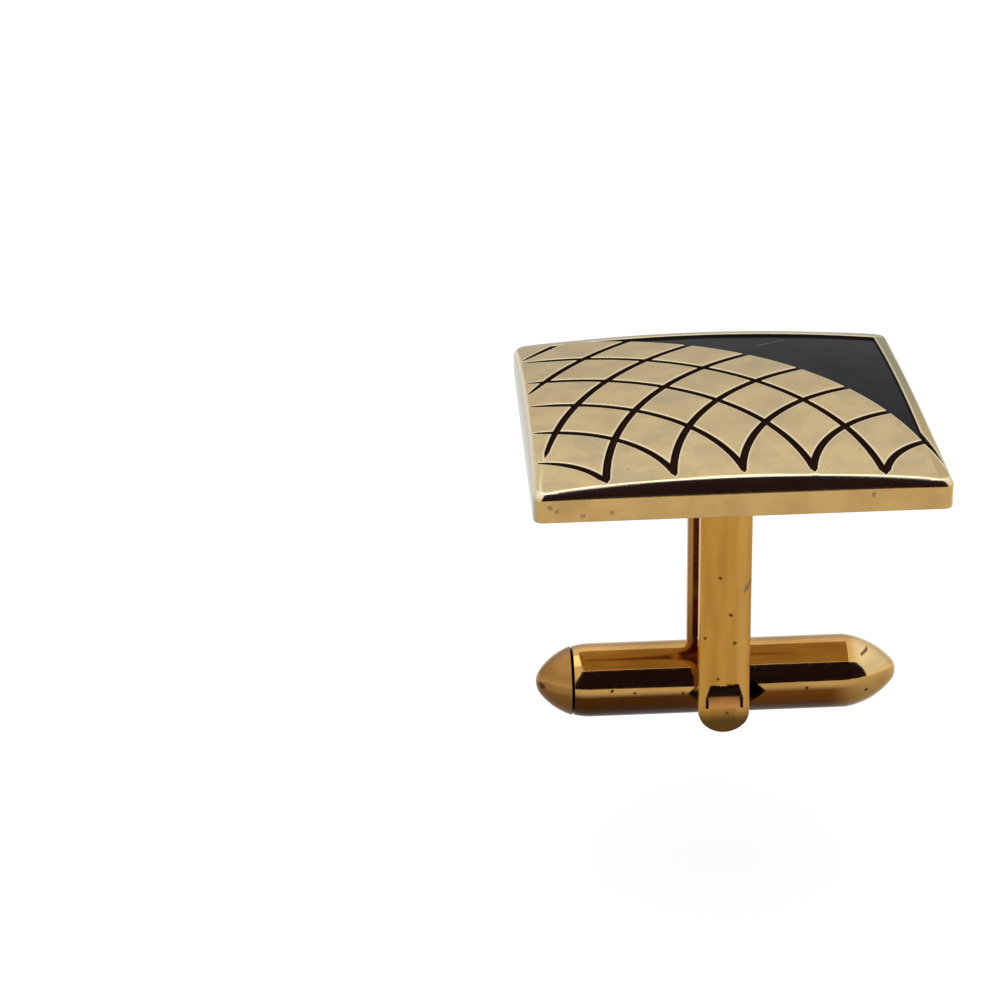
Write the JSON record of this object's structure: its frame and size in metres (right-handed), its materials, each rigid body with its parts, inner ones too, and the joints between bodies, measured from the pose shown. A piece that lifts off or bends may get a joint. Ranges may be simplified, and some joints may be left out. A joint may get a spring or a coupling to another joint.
{
  "type": "cufflink",
  "caption": "Square bullet-back cufflink: crowned gilt face with crossing-arc lattice and black enamel, on a U-shaped shank with a bullet toggle that swivels to pass the buttonhole.",
  "frame": {"origin": "under the middle of the face, level with the underside of the closed toggle", "axes": "+X along the closed toggle, towards its drawn nose; +Y from the front leg to the rear leg; +Z along the shank, towards the face"},
  "size_m": [0.02, 0.0194, 0.0181],
  "materials": {
    "gilt_face": "satin gilt",
    "black_enamel": "glossy",
    "gilt_back": "polished gilt",
    "gilt_shank": "worn gilt",
    "gilt_toggle": "polished gilt",
    "gilt_cap": "polished gilt",
    "bare_brass": "bare",
    "spring_steel": "drawn wire"
  },
  "bodies": {
    "root": {"face_plate": "gilt_face", "enamel_inlay": "black_enamel", "back_plate": "gilt_back", "shank": "gilt_shank"},
    "toggle": {"toggle_tube": "gilt_toggle", "end_cap": "gilt_cap", "detent_spring": "spring_steel"},
    "plunger": {"plunger": "bare_brass"}
  },
  "joints": [
    {"name": "toggle_swivel", "type": "hinge", "parent": "root", "child": "toggle", "pos_m": [0, 0, 0.00193], "axis": [0, 1, 0], "continuous": true},
    {"name": "plunger_slide", "type": "slide", "parent": "toggle", "child": "plunger", "axis": [-1, 0, 0], "range_m": [0, 0.0005], "stiffness_N_per_m": 300, "deforming": ["detent_spring"]}
  ]
}
